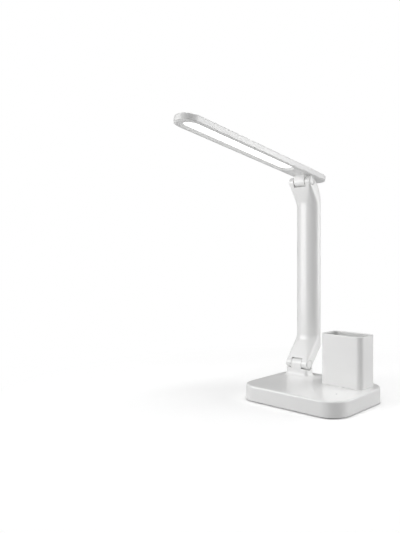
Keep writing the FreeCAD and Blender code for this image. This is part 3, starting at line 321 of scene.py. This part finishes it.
DRIFT_SCALE, DRIFT_DETAIL = 14.0, 3.0
GRAIN_DETAIL, GRAIN_DEPTH = 2.0, 0.0002


def finish(name, colour, roughness, shift=0.03, grain=0.02, scale=900.0, **shader_values):
    """A finish whose colour drifts a little and whose surface has a fine grain.

    Both come from noise in object space, in cells per metre.
    """
    material = bpy.data.materials.new(name)
    material.use_nodes = True
    nodes, links = material.node_tree.nodes, material.node_tree.links
    shader = nodes["Principled BSDF"]
    shader.inputs["Roughness"].default_value = roughness
    for socket, value in shader_values.items():
        shader.inputs[socket.replace("_", " ")].default_value = value
    place = nodes.new("ShaderNodeTexCoord")
    drift = nodes.new("ShaderNodeTexNoise")
    drift.inputs["Scale"].default_value = DRIFT_SCALE
    drift.inputs["Detail"].default_value = DRIFT_DETAIL
    links.new(place.outputs["Object"], drift.inputs["Vector"])
    blend = nodes.new("ShaderNodeMix")
    blend.data_type = "RGBA"
    blend.inputs["A"].default_value = (*[c * (1 - shift) for c in colour], 1)
    blend.inputs["B"].default_value = (*[min(1.0, c * (1 + shift)) for c in colour], 1)
    links.new(drift.outputs["Fac"], blend.inputs["Factor"])
    links.new(blend.outputs["Result"], shader.inputs["Base Color"])
    fine = nodes.new("ShaderNodeTexNoise")
    fine.inputs["Scale"].default_value = scale
    fine.inputs["Detail"].default_value = GRAIN_DETAIL
    links.new(place.outputs["Object"], fine.inputs["Vector"])
    bump = nodes.new("ShaderNodeBump")
    bump.inputs["Strength"].default_value = grain
    bump.inputs["Distance"].default_value = GRAIN_DEPTH
    links.new(fine.outputs["Fac"], bump.inputs["Height"])
    links.new(bump.outputs["Normal"], shader.inputs["Normal"])
    return material


WHITE = finish("white_moulding", (0.86, 0.86, 0.855), 0.32, shift=0.006, grain=0.03,
               Coat_Weight=0.25, Coat_Roughness=0.12)
STEEL = finish("zinc_plated_steel", (0.6, 0.61, 0.63), 0.34, shift=0.05, grain=0.08, Metallic=1.0)
WEIGHT_STEEL = finish("pressed_steel_plate", (0.3, 0.3, 0.31), 0.5, shift=0.12, grain=0.15,
                      Metallic=1.0)
RUBBER = finish("anti_slip_rubber", (0.05, 0.05, 0.052), 0.85, shift=0.1, grain=0.5, scale=700.0)
FOAM = finish("conductive_foam", (0.08, 0.08, 0.085), 0.95, shift=0.2, grain=0.8, scale=1500.0)
BOARD = finish("solder_mask", (0.05, 0.2, 0.09), 0.35, shift=0.08, grain=0.05)
BLACK = finish("black_moulding", (0.03, 0.03, 0.032), 0.45, shift=0.1, grain=0.1)
ACETAL = finish("acetal_washer", (0.72, 0.71, 0.67), 0.4, shift=0.03, grain=0.05)
LENS = finish("light_pipe", (0.3, 0.32, 0.34), 0.15, shift=0.04, grain=0.01)
OPAL = finish("opal_diffuser", (0.93, 0.93, 0.925), 0.5, shift=0.004, grain=0.02,
              Emission_Color=(1.0, 1.0, 0.99, 1.0), Emission_Strength=1.3)
REFLECTOR = finish("reflector_white", (0.9, 0.9, 0.89), 0.55, shift=0.01, grain=0.05)
PHOSPHOR = finish("chip_phosphor", (0.9, 0.72, 0.2), 0.5, shift=0.06, grain=0.1)
SHEATH = finish("lead_sheath", (0.8, 0.8, 0.78), 0.5, shift=0.03, grain=0.1)


# Base

def base_shell():
    """The housing: its wall's profile carried round the base, the flared pedestal, the knuckle."""
    inner = BASE_WALL + BASE_REACH
    wall = rounded([
        (inner, BASE_TOP - BASE_WALL, 0),
        (BASE_WALL, BASE_TOP - BASE_WALL, BASE_INNER_ROUND),
        (BASE_WALL, BASE_BOTTOM, 0),
        (0, BASE_BOTTOM, BASE_FOOT_ROUND),
        (0, BASE_TOP, BASE_EDGE),
        (inner, BASE_TOP, 0),
    ])
    shell = solid("base_top", carried(BASE_WIDTH, BASE_DEPTH, BASE_CORNER, wall))
    outer = -PEDESTAL_FLARE - FLARE_OVERRUN
    foot = rounded([
        (outer, BASE_TOP - PEDESTAL_SINK, 0),
        (outer, BASE_TOP - FLARE_SINK, 0),
        (0, BASE_TOP - FLARE_SINK, PEDESTAL_FLARE),
        (0, PEDESTAL_TOP, PEDESTAL_ROUND),
        (PEDESTAL_REACH, PEDESTAL_TOP, 0),
    ])
    pedestal = solid("pedestal", carried(
        PEDESTAL_WIDTH, PEDESTAL_DEPTH, PEDESTAL_CORNER, foot, ARM_X, PEDESTAL_Y))
    saddles = [
        solid("saddle", revolved(LOWER_AXIS, [(start, SADDLE_RADIUS), (end, SADDLE_RADIUS)]))
        for start, end in ((LOWER.knuckle_half, PEDESTAL_WIDTH),
                           (-PEDESTAL_WIDTH, -LOWER.knuckle_half))]
    combined(pedestal, saddles, "DIFFERENCE")
    leg = PEDESTAL_TOP - PEDESTAL_SINK - LOWER_AXIS[2]
    knuckle = solid("knuckle", tongue(LOWER_AXIS, LOWER.ear_radius, LOWER.knuckle_half, leg))
    combined(shell, [pedestal, knuckle], "UNION")

    dot_low, dot_high = box_mm("indicator_lens")
    x, y = ((dot_low + dot_high) / 2)[:2]
    hole = [(0, BASE_TOP - DOT_HOLE_REACH), (0, BASE_TOP + DOT_HOLE_REACH)]
    combined(shell, [solid("dot_hole", post(DOT_HOLE, hole, x, y))], "DIFFERENCE")

    socket_low, socket_high = box_mm("power_socket")
    socket_x, _, socket_z = (socket_low + socket_high) / 2
    upright = post(SOCKET_HOLE, [(0, 0), (0, SOCKET_HOLE_DEPTH)], socket_x)
    lying = turned_about_x(upright, np.zeros(3), -math.pi / 2)
    lying = lying + np.array([0, (BASE_DEPTH - SOCKET_HOLE_DEPTH) / 2, socket_z])
    combined(shell, [solid("socket_hole", lying)], "DIFFERENCE")
    return dressed(shell, "base", "white_housing", WHITE, "base_shell")


def anti_slip_mat():
    """The mat under the base, set in from its edge."""
    low, high = box_mm("anti_slip_mat")
    width, depth, height = high - low
    profile = rounded([
        (MAT_REACH, 0, 0), (0, 0, MAT_EDGE), (0, height, 0), (MAT_REACH, height, 0)])
    mat = solid("mat", carried(width, depth, MAT_CORNER, profile))
    return dressed(mat, "base", "grey_rubber", RUBBER, "anti_slip_mat")


def pen_cup():
    """The open cup: its wall's profile carried round, and two screw bosses on its floor."""
    floor_z = BASE_TOP + CUP_FLOOR
    wall = rounded([
        (CUP_REACH, BASE_TOP, 0),
        (0, BASE_TOP, CUP_FOOT_ROUND),
        (0, CUP_TOP, CUP_LIP),
        (CUP_WALL, CUP_TOP, CUP_LIP),
        (CUP_WALL, floor_z, CUP_INNER_ROUND),
        (CUP_REACH, floor_z, 0),
    ])
    cup = solid("cup", carried(CUP_WIDTH, CUP_DEPTH, CUP_CORNER, wall, CUP_X, CUP_Y))
    boss = rounded([
        (BOSS_REACH, BASE_TOP + BOSS_FOOT, 0), (0, BASE_TOP + BOSS_FOOT, 0),
        (0, floor_z + BOSS_RISE, BOSS_EDGE), (BOSS_REACH, floor_z + BOSS_RISE, 0)])
    bosses = [
        solid("boss", post(BOSS_WIDTH, boss, CUP_X + side * BOSS_SIDE, CUP_Y)) for side in (-1, 1)]
    combined(cup, bosses, "UNION")
    return dressed(cup, "base", "white_housing", WHITE, "pen_cup")


def indicator_lens():
    """The light pipe: a flange below, and its head up through the base's hole."""
    low, high = box_mm("indicator_lens")
    x, y = ((low + high) / 2)[:2]
    bottom, top = low[2], high[2]
    profile = rounded([
        (LENS_UNDER_REACH, bottom, 0), (0, bottom, 0), (0, bottom + LENS_FLANGE, 0),
        (LENS_STEP, bottom + LENS_FLANGE, 0), (LENS_STEP, top, LENS_EDGE),
        (LENS_TOP_REACH, top, 0)])
    lens = solid("lens", post(LENS_WIDTH, profile, x, y))
    return dressed(lens, "base", "clear_lens", LENS, "indicator_lens")


# Arm

def bend_path(offset, rise, arc, touch, share, straight=0.0):
    """A bend from the side, at each share of its length: how far behind the axis and above it.

    The upright stands offset behind the axis and runs straight down to height rise. From there
    an arc about (offset - arc, rise) turns it forward by the angle L, and a line along
    (-sin L, -cos L) ends tangent to the circle of radius touch about the axis. L is
    acos((touch - arc) / D) - atan2(rise, offset - arc), with D the arc's centre's distance from
    the axis; touch is below zero where the line meets the circle's front.
    """
    middle = offset - arc
    lean = math.acos((touch - arc) / math.hypot(middle, rise)) - math.atan2(rise, middle)
    start = np.array([middle + arc * math.cos(lean), rise - arc * math.sin(lean)])
    end = touch * np.array([math.cos(lean), -math.sin(lean)])
    run = (straight + arc * lean + np.linalg.norm(end - start)) * share - straight
    turn = np.clip(run / arc, 0, lean)
    on = np.maximum(run - arc * lean, 0)
    behind = middle + arc * np.cos(turn) - on * math.sin(lean)
    above = rise - arc * np.sin(turn) - on * math.cos(lean) + np.maximum(-run, 0)
    return behind, above


def arm_sections(hinge, front_rise, rear_rise, rear_arc, way, share):
    """The arm's D-shaped sections along one bend, at each share of the way to the hinge's ear.

    A section spans from its front path's point to its rear path's. Across it, x and the run
    follow two quarter ellipses at the front and two quarter circles at the rear, joined by
    straight lines; their sizes change evenly from the tube's to the ear's edge round.
    """
    radius = hinge.ear_radius - EAR_OVERLAP
    y, z = hinge.centre[1:]
    front_y, front_z = bend_path(ARM_FRONT - y, front_rise, FRONT_ARC, -radius, share)
    rear_y, rear_z = bend_path(
        ARM_REAR - y, rear_rise, rear_arc, radius, share, front_rise - rear_rise)
    front_y, rear_y = front_y + y, rear_y + y
    dy, dz = rear_y - front_y, rear_z - front_z
    depth = np.hypot(dy, dz)[:, None]

    p, q, r = [
        (size + (EAR_ROUND - size) * share)[:, None]
        for size in (FRONT_ROUND, SIDE_ROUND, REAR_ROUND)]
    half = (ARM_HALF - EAR_OVERLAP / 2 * share)[:, None]
    t = np.linspace(0, math.pi / 2, CORNER_POINTS)[None]
    small = np.linspace(0, math.pi / 2, SMALL_CORNER_POINTS)[None]
    hold = np.full_like(p, HOLD)
    x = np.concatenate([
        half - p + p * np.sin(t), half, half - r + r * np.cos(small), half - r - hold,
        -half + r + hold, -half + r - r * np.sin(small), -half, -half + p - p * np.cos(t),
    ], axis=1)
    along = np.concatenate([
        q - q * np.cos(t), depth - r - hold, depth - r + r * np.sin(small), depth,
        depth, depth - r + r * np.cos(small), depth - r - hold, q - q * np.sin(t),
    ], axis=1)
    unit_y, unit_z = dy[:, None] / depth, dz[:, None] / depth
    section_y = front_y[:, None] + unit_y * along
    section_z = z + way * (front_z[:, None] + unit_z * along)
    return np.stack([ARM_X + x, section_y, section_z], axis=-1)


def ear_drum(hinge):
    """An ear as wide as the arm: a circle about the hinge's axis, its rims rounded."""
    radius = hinge.ear_radius
    side = rounded([(-ARM_HALF, DRUM_BORE, 0), (-ARM_HALF, radius, EAR_ROUND),
                    (ARM_HALF, radius, EAR_ROUND), (ARM_HALF, DRUM_BORE, 0)])
    return solid("ear", revolved(hinge.centre, side))


def leg_room(hinge, angle, way):
    """A block between the ears, from the axis out along a neighbour's leg at one angle."""
    wide, deep = hinge.ear, hinge.ear_radius + SLOT_GAP
    reach = 2 * deep * way
    block = brick((-wide, -deep, min(0, reach)), (wide, deep, max(0, reach)))
    turned = turned_about_x(block + hinge.centre, hinge.centre, math.radians(angle))
    return solid("leg_room", turned)


def arm_cutters(hinge, angles, way):
    """What one hinge takes out of the arm: the knuckle's slot, its legs' room, two cap seats."""
    radius = hinge.ear_radius + SLOT_GAP
    cutters = [solid("slot", revolved(hinge.centre, [(-hinge.ear, radius), (hinge.ear, radius)]))]
    cutters += [leg_room(hinge, angle, way) for angle in angles]
    inner, outer = ARM_HALF - CAP_DEPTH, ARM_HALF + SEAT_OVERRUN
    for start, end in ((inner, outer), (-outer, -inner)):
        seat = [(start, hinge.cap_radius), (end, hinge.cap_radius)]
        cutters.append(solid("seat", revolved(hinge.centre, seat)))
    return cutters


def arm_shell():
    """The arm: one tube from ear to ear, slotted for both knuckles, seated for caps and cover."""
    share = np.linspace(0, 1, BEND_SECTIONS)
    lower_bend = arm_sections(
        LOWER, LOWER_FRONT_RISE, LOWER_REAR_RISE, LOWER_REAR_ARC, 1, share[::-1])
    upper_bend = arm_sections(
        UPPER, UPPER_FRONT_RISE, UPPER_REAR_RISE, UPPER_REAR_ARC, -1, share)
    shell = solid("arm", np.concatenate([lower_bend, upper_bend]))
    combined(shell, [ear_drum(LOWER), ear_drum(UPPER)], "UNION")
    cutters = arm_cutters(LOWER, LOWER_LEG_ANGLES, -1) + arm_cutters(UPPER, UPPER_LEG_ANGLES, 1)
    low, high = box_mm("arm_rear_cover")
    gap = np.array([COVER_GAP, 0, COVER_GAP])
    cover_seat = brick(low - gap, high + gap + np.array([0, SEAT_OVERRUN, 0]))
    cutters.append(solid("cover_seat", cover_seat))
    combined(shell, cutters, "DIFFERENCE")
    return dressed(shell, "arm", "white_housing", WHITE, "arm_shell")


def hinge_caps(hinge, node):
    """A pair of round caps, slightly domed, in the ears' outer faces."""
    radius = hinge.cap_radius - CAP_GROOVE
    x = ARM_HALF
    right = rounded([
        (x - CAP_DEPTH, CAP_HUB, 0), (x - CAP_DEPTH, radius, 0), (x, radius, CAP_EDGE),
        (x + CAP_DOME, CAP_HUB, 0)])
    left = rounded([
        (-x - CAP_DOME, CAP_HUB, 0), (-x, radius, CAP_EDGE), (-x + CAP_DEPTH, radius, 0),
        (-x + CAP_DEPTH, CAP_HUB, 0)])
    caps = [solid("cap", revolved(hinge.centre, profile)) for profile in (right, left)]
    both = combined(caps[0], caps[1:], "UNION")
    both.name = node.replace("_hinge", "") + "_pair"
    return dressed(both, "arm", "white_housing", WHITE, node)


# Head

def head_outline(profile):
    """A profile carried round the head's outline, on the tilted head's own frame."""
    return carried(HEAD_WIDTH, HEAD_LENGTH, HEAD_CORNER, profile, y=HEAD_Y)


def head_shell():
    """The upper housing: its wall's profile carried round the head's outline."""
    inner = HEAD_WALL + HEAD_REACH
    wall = rounded([
        (inner, HEAD_CROWN - HEAD_WALL, 0),
        (HEAD_WALL, HEAD_CROWN - HEAD_WALL, HEAD_INNER_ROUND),
        (HEAD_WALL, HEAD_RIM, 0),
        (0, HEAD_RIM, RIM_EDGE),
        (0, HEAD_CROWN, HEAD_ROUND),
        (inner, HEAD_CROWN, 0),
    ])
    shell = solid("head_top", on_head(head_outline(wall)))
    return dressed(shell, "head", "white_housing", WHITE, "head_shell")


def bezel():
    """The underside: a looped profile, part round the window and part round the head's outline."""
    window = carried(WINDOW_WIDTH, WINDOW_LENGTH, WINDOW_CORNER, rounded([
        (-WINDOW_RIM, HEAD_RIM, 0), (-WINDOW_RIM, WINDOW_TOP, 0), (WINDOW_SLOPE, WINDOW_TOP, 0),
        (0, HEAD_UNDER, WINDOW_EDGE), (-WINDOW_FLAT, HEAD_UNDER, 0)]), y=WINDOW_Y)
    lip_top = HEAD_RIM + LIP_RISE
    rim = head_outline(rounded([
        (BEZEL_SLOPE + BEZEL_FLAT, HEAD_UNDER, 0), (BEZEL_SLOPE, HEAD_UNDER, BEZEL_EDGE),
        (0, HEAD_RIM, RIM_EDGE), (LIP_OUTER, HEAD_RIM, 0), (LIP_OUTER, lip_top, 0),
        (LIP_INNER, lip_top, 0), (LIP_INNER, HEAD_RIM, 0)]))
    under = solid("underside", on_head(np.concatenate([window, rim])), looped=True)
    wide, deep = NECK_HOLE_HALF_WIDTH, NECK_HOLE_HALF_DEPTH
    hole = brick((-wide, -deep, 0), (wide, deep, 2 * HEAD_RIM))
    cutters = [solid("neck_hole", on_head(hole))]
    for y in (SCREW_FRONT, SCREW_REAR):
        for x in (-SCREW_SIDE, SCREW_SIDE):
            seat = post(SCREW_SEAT, [(0, 0), (0, HEAD_UNDER + SCREW_SEAT_DEPTH)], x, y)
            cutters.append(solid("screw_seat", on_head(seat)))
    combined(under, cutters, "DIFFERENCE")
    return dressed(under, "head", "white_housing", WHITE, "bezel")


def diffuser():
    """The opal plate over the window's frame."""
    profile = [(DIFFUSER_REACH, WINDOW_TOP), (0, WINDOW_TOP), (0, DIFFUSER_TOP),
               (DIFFUSER_REACH, DIFFUSER_TOP)]
    plate = solid("opal_plate", on_head(carried(
        WINDOW_WIDTH, WINDOW_LENGTH, DIFFUSER_CORNER, profile, y=WINDOW_Y)))
    return dressed(plate, "head", "diffuser_plastic", OPAL, "diffuser")


def hinge_block():
    """The head's knuckle on its neck, and the flange that holds it inside the housing."""
    neck = tongue(np.zeros(3), UPPER.ear_radius, UPPER.knuckle_half, NECK_RISE)
    block = solid("neck", on_head(neck))
    flange = carried(FLANGE_WIDTH, FLANGE_DEPTH, FLANGE_CORNER, [
        (FLANGE_REACH, FLANGE_BOTTOM), (0, FLANGE_BOTTOM), (0, FLANGE_TOP),
        (FLANGE_REACH, FLANGE_TOP)], y=FLANGE_Y)
    combined(block, [solid("flange", on_head(flange))], "UNION")
    return dressed(block, "head", "white_housing", WHITE, "head_hinge_block")


base_shell()
anti_slip_mat()
pen_cup()
indicator_lens()
arm_shell()
hinge_caps(LOWER, "lower_hinge_caps")
hinge_caps(UPPER, "upper_hinge_caps")
head_shell()
bezel()
diffuser()
hinge_block()

carried_over = {
    WHITE: ["base_plate", "arm_rear_cover"],
    WEIGHT_STEEL: ["counterweight"],
    STEEL: [
        "weight_screws", "base_screws", "board_screws", "cup_screws", "arm_cover_screws",
        "bezel_screws", "hinge_block_screws", "socket_pin", "lower_hinge_pin", "lower_hinge_bush",
        "lower_spring_washer", "upper_hinge_pin", "upper_hinge_bush", "upper_spring_washer"],
    BOARD: ["control_board", "led_board"],
    BLACK: ["board_components", "led_plug", "power_socket"],
    FOAM: ["touch_foam"],
    ACETAL: ["lower_friction_washers", "upper_friction_washers"],
    REFLECTOR: ["reflector_frame"],
    PHOSPHOR: ["led_chips"],
    SHEATH: ["supply_lead", "base_lead", "arm_lead", "head_lead"],
}
for material, names in carried_over.items():
    for name in names:
        mesh = frame["nodes"][name].data
        mesh.materials.clear()
        mesh.materials.append(material)


# Stage, in metres

PAPER_WHITE = (1, 1, 1, 1)
AMBIENT = 0.1
FLOOR_HALF = 6.0
FLOOR_BOUNCE, FLOOR_PALE, FLOOR_LIFT = 0.6, 0.95, 0.12
FADE_START, FADE_END = 0.16, 0.45
MIDDLE = Vector((0, 0, 0.15))


def floor():
    """A plain pale floor with the lamp's shadow, which runs out to white for the camera."""
    side = FLOOR_HALF
    corners = [(-side, -side, 0), (side, -side, 0), (side, side, 0), (-side, side, 0)]
    mesh = bpy.data.meshes.new("floor")
    mesh.from_pydata(corners, [], [(0, 1, 2, 3)])
    thing = bpy.data.objects.new("floor", mesh)
    bpy.context.scene.collection.objects.link(thing)
    material = bpy.data.materials.new("pale_floor")
    material.use_nodes = True
    nodes, links = material.node_tree.nodes, material.node_tree.links
    nodes.clear()
    ray = nodes.new("ShaderNodeLightPath")

    matte = nodes.new("ShaderNodeBsdfDiffuse")
    pale = nodes.new("ShaderNodeMapRange")
    pale.inputs["To Min"].default_value = FLOOR_BOUNCE
    pale.inputs["To Max"].default_value = FLOOR_PALE
    links.new(ray.outputs["Is Camera Ray"], pale.inputs["Value"])
    links.new(pale.outputs["Result"], matte.inputs["Color"])

    glow = nodes.new("ShaderNodeEmission")
    glow.inputs["Color"].default_value = PAPER_WHITE
    lift = nodes.new("ShaderNodeMath")
    lift.operation = "MULTIPLY"
    lift.inputs[1].default_value = FLOOR_LIFT
    links.new(ray.outputs["Is Camera Ray"], lift.inputs[0])
    links.new(lift.outputs[0], glow.inputs["Strength"])
    both = nodes.new("ShaderNodeAddShader")
    links.new(matte.outputs[0], both.inputs[0])
    links.new(glow.outputs[0], both.inputs[1])

    place = nodes.new("ShaderNodeNewGeometry")
    distance = nodes.new("ShaderNodeVectorMath")
    distance.operation = "LENGTH"
    links.new(place.outputs["Position"], distance.inputs[0])
    away = nodes.new("ShaderNodeMapRange")
    away.inputs["From Min"].default_value = FADE_START
    away.inputs["From Max"].default_value = FADE_END
    links.new(distance.outputs["Value"], away.inputs["Value"])
    fade = nodes.new("ShaderNodeMath")
    fade.operation = "MULTIPLY"
    links.new(away.outputs["Result"], fade.inputs[0])
    links.new(ray.outputs["Is Camera Ray"], fade.inputs[1])

    paper = nodes.new("ShaderNodeEmission")
    paper.inputs["Color"].default_value = PAPER_WHITE
    faded = nodes.new("ShaderNodeMixShader")
    links.new(fade.outputs[0], faded.inputs[0])
    links.new(both.outputs[0], faded.inputs[1])
    links.new(paper.outputs[0], faded.inputs[2])
    out = nodes.new("ShaderNodeOutputMaterial")
    links.new(faded.outputs[0], out.inputs["Surface"])
    mesh.materials.append(material)


def backdrop():
    """White to the camera, also through clear pieces, and an even soft light for all else."""
    world = bpy.data.worlds.new("studio")
    bpy.context.scene.world = world
    world.use_nodes = True
    nodes, links = world.node_tree.nodes, world.node_tree.links
    ground = nodes["Background"]
    ground.inputs["Color"].default_value = PAPER_WHITE
    ray = nodes.new("ShaderNodeLightPath")
    seen = nodes.new("ShaderNodeMath")
    seen.operation = "MAXIMUM"
    links.new(ray.outputs["Is Camera Ray"], seen.inputs[0])
    links.new(ray.outputs["Is Transmission Ray"], seen.inputs[1])
    level = nodes.new("ShaderNodeMapRange")
    level.inputs["To Min"].default_value = AMBIENT
    level.inputs["To Max"].default_value = 1.0
    links.new(seen.outputs[0], level.inputs["Value"])
    links.new(level.outputs["Result"], ground.inputs["Strength"])


def softbox(name, azimuth, elevation, distance, size, power):
    """A square area lamp that faces the lamp's middle. Azimuth 0 is in front, 90 to the right."""
    light = bpy.data.lights.new(name, "AREA")
    light.shape = "SQUARE"
    light.size = size
    light.energy = power
    thing = bpy.data.objects.new(name, light)
    a, e = math.radians(azimuth), math.radians(elevation)
    way = Vector((math.sin(a) * math.cos(e), -math.cos(a) * math.cos(e), math.sin(e)))
    thing.location = MIDDLE + way * distance
    thing.rotation_euler = way.to_track_quat("Z", "Y").to_euler()
    thing.visible_camera = False
    bpy.context.scene.collection.objects.link(thing)


floor()
backdrop()
softbox("left_softbox", azimuth=-36, elevation=10, distance=1.6, size=1.0, power=16.8)
softbox("right_softbox", azimuth=127, elevation=10, distance=1.6, size=1.0, power=15.5)
softbox("top_softbox", azimuth=0, elevation=88, distance=1.6, size=1.2, power=20)


# Camera, held level, its lens and shift in pixels of the picture

CAMERA_PLACE = (0.4167, -0.5735, 0.1895)
CAMERA_YAW = math.radians(39.948)
FOCAL_PIXELS, LONG_SIDE = 526.14, 533.0
SHIFT_X, SHIFT_Y = -76.0, -7.6
SENSOR = 36.0
CLIP_START = 0.01
camera_data = bpy.data.cameras.new("camera")
camera_data.sensor_width = SENSOR
camera_data.lens = FOCAL_PIXELS / LONG_SIDE * SENSOR
camera_data.shift_x = SHIFT_X / LONG_SIDE
camera_data.shift_y = SHIFT_Y / LONG_SIDE
camera_data.clip_start = CLIP_START
camera = bpy.data.objects.new("camera", camera_data)
camera.location = CAMERA_PLACE
camera.rotation_euler = (math.pi / 2, 0, CAMERA_YAW)
bpy.context.scene.collection.objects.link(camera)
bpy.context.scene.camera = camera
bpy.context.scene.view_settings.view_transform = "Standard"
